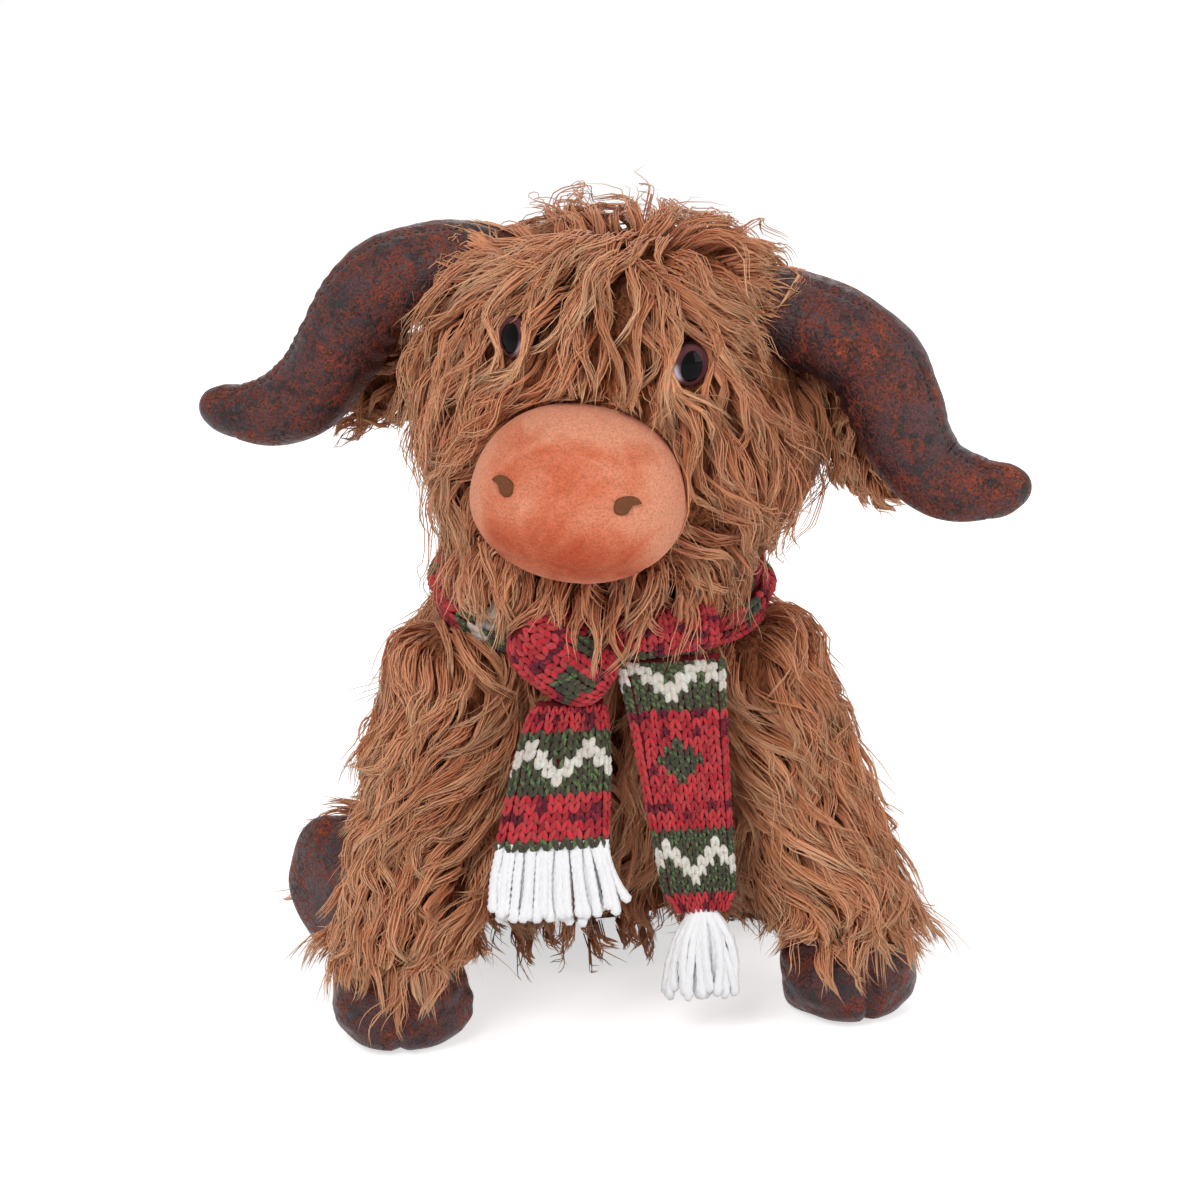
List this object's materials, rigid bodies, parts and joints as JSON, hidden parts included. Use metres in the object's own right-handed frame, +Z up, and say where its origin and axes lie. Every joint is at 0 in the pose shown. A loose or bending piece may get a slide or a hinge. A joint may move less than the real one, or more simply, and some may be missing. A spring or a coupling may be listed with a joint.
{
  "type": "plush cow",
  "caption": "Sitting long-haired plush cow with soft horns, cloven hooves and a knotted knitted scarf; its head, legs, ears, tail and scarf ends move.",
  "frame": {"origin": "on the floor under the middle of the toy's box", "axes": "+Z up, the toy faces -Y, and its own left is +X"},
  "size_m": [0.2892, 0.2594, 0.3018],
  "materials": {
    "fur": "long wavy golden-brown pile on a knitted backing",
    "stuffing": "white polyester fibre filling",
    "pellet_cotton": "cotton bag of plastic pellets",
    "velour": "short coral velour, mottled",
    "nostril_felt": "brown felt",
    "eye_gloss": "polished dark safety eye with a brown rim",
    "washer_plastic": "moulded white plastic",
    "leather": "crackled dark maroon leather with rust-coloured wear",
    "scarf_knit": "red stocking stitch with green and cream pattern bands",
    "fringe_yarn": "white plied yarn"
  },
  "bodies": {
    "body": {"body_skin": "fur", "body_stuffing": "stuffing", "pellet_bag": "pellet_cotton", "scarf_loop": "scarf_knit", "scarf_knot": "scarf_knit"},
    "neck": {"neck_stuffing": "stuffing"},
    "head": {"head_skin": "fur", "head_stuffing": "stuffing", "muzzle_cover": "velour", "muzzle_stuffing": "stuffing", "nostril_left": "nostril_felt", "nostril_right": "nostril_felt", "eye_left": "eye_gloss", "eye_right": "eye_gloss", "eye_washer_left": "washer_plastic", "eye_washer_right": "washer_plastic", "horn_left": "leather", "horn_right": "leather", "horn_stuffing_left": "stuffing", "horn_stuffing_right": "stuffing"},
    "tail": {"tail": "fur", "tail_tuft": "fur"},
    "ear_left": {"ear_left": "fur"},
    "front_leg_left": {"front_leg_left": "fur", "front_leg_stuffing_left": "stuffing", "front_hoof_left": "leather"},
    "hind_leg_left": {"hind_leg_left": "fur", "hind_leg_stuffing_left": "stuffing", "hind_hoof_left": "leather"},
    "scarf_end_left": {"scarf_end_left": "scarf_knit", "scarf_fringe_left": "fringe_yarn"},
    "ear_right": {"ear_right": "fur"},
    "front_leg_right": {"front_leg_right": "fur", "front_leg_stuffing_right": "stuffing", "front_hoof_right": "leather"},
    "hind_leg_right": {"hind_leg_right": "fur", "hind_leg_stuffing_right": "stuffing", "hind_hoof_right": "leather"},
    "scarf_end_right": {"scarf_end_right": "scarf_knit", "scarf_fringe_right": "fringe_yarn"}
  },
  "joints": [
    {"name": "head_turn", "type": "hinge", "parent": "body", "child": "neck", "pos_m": [0.00181, -0.02024, 0.172], "axis": [0, 0, 1], "range_deg": [-20, 20], "stiffness_Nm_per_rad": 1},
    {"name": "head_nod", "type": "hinge", "parent": "neck", "child": "head", "pos_m": [0.00181, -0.02024, 0.172], "axis": [0.9397, -0.342, 0], "range_deg": [-5, 8], "stiffness_Nm_per_rad": 3},
    {"name": "ear_left_flap", "type": "hinge", "parent": "head", "child": "ear_left", "pos_m": [0.07799, -0.04064, 0.22743], "axis": [0.7092, -0.2581, 0.6561], "range_deg": [-8, 20], "stiffness_Nm_per_rad": 0.05},
    {"name": "ear_right_flap", "type": "hinge", "parent": "head", "child": "ear_right", "pos_m": [-0.05304, 0.00706, 0.24455], "axis": [0.539, -0.1962, -0.8192], "range_deg": [-8, 20], "stiffness_Nm_per_rad": 0.05},
    {"name": "front_leg_left_swing", "type": "hinge", "parent": "body", "child": "front_leg_left", "pos_m": [0.05781, -0.03224, 0.12], "axis": [-1, 0, 0], "range_deg": [0, 12], "stiffness_Nm_per_rad": 1.2},
    {"name": "front_leg_right_swing", "type": "hinge", "parent": "body", "child": "front_leg_right", "pos_m": [-0.05419, -0.03224, 0.12], "axis": [-1, 0, 0], "range_deg": [0, 12], "stiffness_Nm_per_rad": 1.2},
    {"name": "hind_leg_left_spread", "type": "hinge", "parent": "body", "child": "hind_leg_left", "pos_m": [0.06981, 0.04276, 0.0265], "axis": [0, 0, 1], "range_deg": [0, 15], "stiffness_Nm_per_rad": 0.6},
    {"name": "hind_leg_right_spread", "type": "hinge", "parent": "body", "child": "hind_leg_right", "pos_m": [-0.06619, 0.04276, 0.0265], "axis": [0, 0, -1], "range_deg": [0, 15], "stiffness_Nm_per_rad": 0.6},
    {"name": "tail_lift", "type": "hinge", "parent": "body", "child": "tail", "pos_m": [0.00181, 0.10249, 0.078], "axis": [1, 0, 0], "range_deg": [0, 60]},
    {"name": "scarf_end_left_swing", "type": "hinge", "parent": "body", "child": "scarf_end_left", "pos_m": [0.01681, -0.07624, 0.137], "axis": [-1, 0, 0], "range_deg": [0, 60]},
    {"name": "scarf_end_right_swing", "type": "hinge", "parent": "body", "child": "scarf_end_right", "pos_m": [-0.02019, -0.07524, 0.122], "axis": [-1, 0, 0], "range_deg": [0, 60]}
  ]
}
